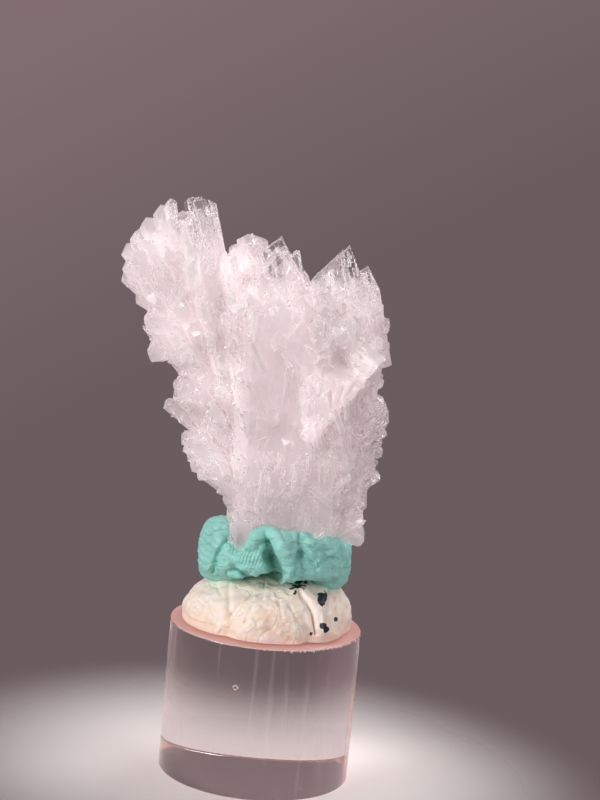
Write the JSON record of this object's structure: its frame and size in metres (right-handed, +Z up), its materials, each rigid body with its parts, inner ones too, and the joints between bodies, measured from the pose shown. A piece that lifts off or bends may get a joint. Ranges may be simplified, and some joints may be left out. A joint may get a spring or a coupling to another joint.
{
  "type": "creedite crystal specimen on a stand",
  "caption": "Clear to milky creedite crystal cluster bedded in turquoise mineral tack and white putty on a short clear acrylic cylinder.",
  "frame": {"origin": "middle of the acrylic cylinder's lower face", "axes": "+Z up the cylinder's axis, -Y towards the viewer of the specimen's best side, +X to that viewer's right"},
  "size_m": [0.0361, 0.025, 0.0748],
  "materials": {
    "crystal": "natural crystal faces, clear at the tips and milky in the body",
    "tack": "matte, pressed and folded by hand",
    "putty": "matte putty with a glossy smear",
    "acrylic": "polished side, frosted rosy top face"
  },
  "bodies": {
    "root": {"creedite_cluster": "crystal", "turquoise_tack": "tack", "white_putty": "putty", "acrylic_cylinder": "acrylic"}
  },
  "joints": []
}
